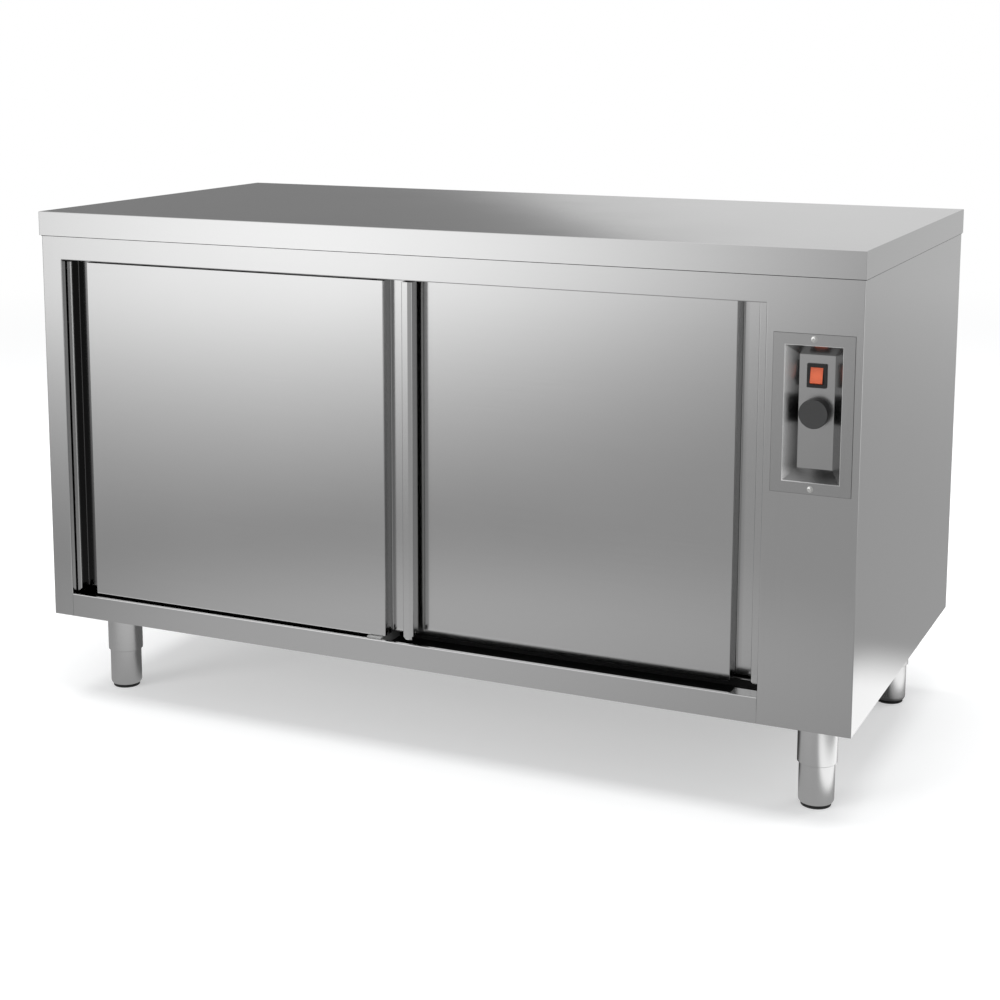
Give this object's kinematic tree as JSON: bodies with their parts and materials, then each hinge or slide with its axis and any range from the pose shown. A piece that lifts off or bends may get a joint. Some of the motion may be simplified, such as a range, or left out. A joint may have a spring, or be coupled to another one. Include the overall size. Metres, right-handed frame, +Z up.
{
  "type": "plate warmer cabinet",
  "caption": "Heated stainless cupboard for plates: worktop, two sliding doors with finger channels, control column with rocker switch and knob, adjustable legs.",
  "frame": {"origin": "on the floor, under the middle of the worktop", "axes": "+Z up, front with the doors faces -Y, +X to the right of someone standing in front"},
  "size_m": [1.4, 0.7, 0.85],
  "materials": {
    "stainless": "satin",
    "stainless_bright": "satin",
    "galvanised": "satin",
    "board": "matte",
    "wool": "matte",
    "rubber": "matte",
    "nylon": "satin",
    "black_plastic": "satin",
    "signal_orange": "satin",
    "terminal_white": "matte",
    "element_steel": "matte"
  },
  "bodies": {
    "cabinet": {"air_duct": "galvanised", "base_pan": "stainless", "bottom_rail": "stainless", "cable_gland": "black_plastic", "ceiling_liner": "stainless", "control_plate": "stainless", "control_screws": "stainless", "door_guide": "nylon", "fan_motor": "galvanised", "floor_deck": "stainless", "header_rail": "stainless", "heating_element": "element_steel", "insulation": "wool", "left_door_track": "stainless", "left_liner": "stainless", "left_side_panel": "stainless", "leg_1": "stainless_bright", "leg_2": "stainless_bright", "leg_3": "stainless_bright", "leg_4": "stainless_bright", "leg_bolts": "galvanised", "rear_liner": "stainless", "rear_panel": "stainless", "right_door_track": "stainless", "right_liner": "stainless", "right_side_panel": "stainless", "shelf": "stainless", "shelf_angles": "stainless", "switch_housing": "black_plastic", "terminal_block": "terminal_white", "thermostat": "terminal_white", "thermostat_probe": "stainless", "track_buffers": "rubber", "track_liner": "black_plastic", "worktop": "stainless", "worktop_board": "board", "worktop_rails": "galvanised"},
    "left_door": {"left_door_front": "stainless", "left_door_back": "stainless", "left_door_core": "wool", "left_door_hangers": "galvanised"},
    "left_wheels_1": {"left_door_wheels_1": "nylon"},
    "left_wheels_2": {"left_door_wheels_2": "nylon"},
    "right_door": {"right_door_front": "stainless", "right_door_back": "stainless", "right_door_core": "wool", "right_door_hangers": "galvanised"},
    "right_wheels_1": {"right_door_wheels_1": "nylon"},
    "right_wheels_2": {"right_door_wheels_2": "nylon"},
    "knob": {"knob": "black_plastic"},
    "rocker": {"rocker": "signal_orange"},
    "impeller": {"fan_impeller": "galvanised"},
    "foot_1": {"foot_1": "stainless_bright", "foot_cap_1": "black_plastic"},
    "foot_2": {"foot_2": "stainless_bright", "foot_cap_2": "black_plastic"},
    "foot_3": {"foot_3": "stainless_bright", "foot_cap_3": "black_plastic"},
    "foot_4": {"foot_4": "stainless_bright", "foot_cap_4": "black_plastic"}
  },
  "joints": [
    {"name": "left_door_slide", "type": "slide", "parent": "cabinet", "child": "left_door", "axis": [1, 0, 0], "range_m": [0, 0.525]},
    {"name": "left_wheels_1_roll", "type": "hinge", "parent": "left_door", "child": "left_wheels_1", "pos_m": [-0.577, -0.3215, 0.7908], "axis": [0, 1, 0], "range_deg": [-3, 3011]},
    {"name": "left_wheels_2_roll", "type": "hinge", "parent": "left_door", "child": "left_wheels_2", "pos_m": [-0.098, -0.3215, 0.7908], "axis": [0, 1, 0], "range_deg": [-3, 3011]},
    {"name": "right_door_slide", "type": "slide", "parent": "cabinet", "child": "right_door", "axis": [1, 0, 0], "range_m": [-0.525, 0]},
    {"name": "right_wheels_1_roll", "type": "hinge", "parent": "right_door", "child": "right_wheels_1", "pos_m": [-0.0155, -0.2915, 0.7908], "axis": [0, 1, 0], "range_deg": [-3011, 3]},
    {"name": "right_wheels_2_roll", "type": "hinge", "parent": "right_door", "child": "right_wheels_2", "pos_m": [0.4635, -0.2915, 0.7908], "axis": [0, 1, 0], "range_deg": [-3011, 3]},
    {"name": "thermostat_turn", "type": "hinge", "parent": "cabinet", "child": "knob", "pos_m": [0.62825, -0.3345, 0.615], "axis": [0, 1, 0], "range_deg": [0, 270]},
    {"name": "switch_rock", "type": "hinge", "parent": "cabinet", "child": "rocker", "pos_m": [0.62825, -0.3243, 0.6675], "axis": [1, 0, 0], "range_deg": [0, 20]},
    {"name": "fan_spin", "type": "hinge", "parent": "cabinet", "child": "impeller", "pos_m": [0.6045, 0, 0.33], "axis": [1, 0, 0], "continuous": true},
    {"name": "foot_1_adjust", "type": "slide", "parent": "cabinet", "child": "foot_1", "axis": [0, 0, -1], "range_m": [0, 0.04]},
    {"name": "foot_2_adjust", "type": "slide", "parent": "cabinet", "child": "foot_2", "axis": [0, 0, -1], "range_m": [0, 0.04]},
    {"name": "foot_3_adjust", "type": "slide", "parent": "cabinet", "child": "foot_3", "axis": [0, 0, -1], "range_m": [0, 0.04]},
    {"name": "foot_4_adjust", "type": "slide", "parent": "cabinet", "child": "foot_4", "axis": [0, 0, -1], "range_m": [0, 0.04]}
  ],
  "couplings": [
    {"joint": "left_wheels_1_roll", "follows": "left_door_slide", "rad_per_m": 100},
    {"joint": "left_wheels_2_roll", "follows": "left_door_slide", "rad_per_m": 100},
    {"joint": "right_wheels_1_roll", "follows": "right_door_slide", "rad_per_m": 100},
    {"joint": "right_wheels_2_roll", "follows": "right_door_slide", "rad_per_m": 100}
  ]
}
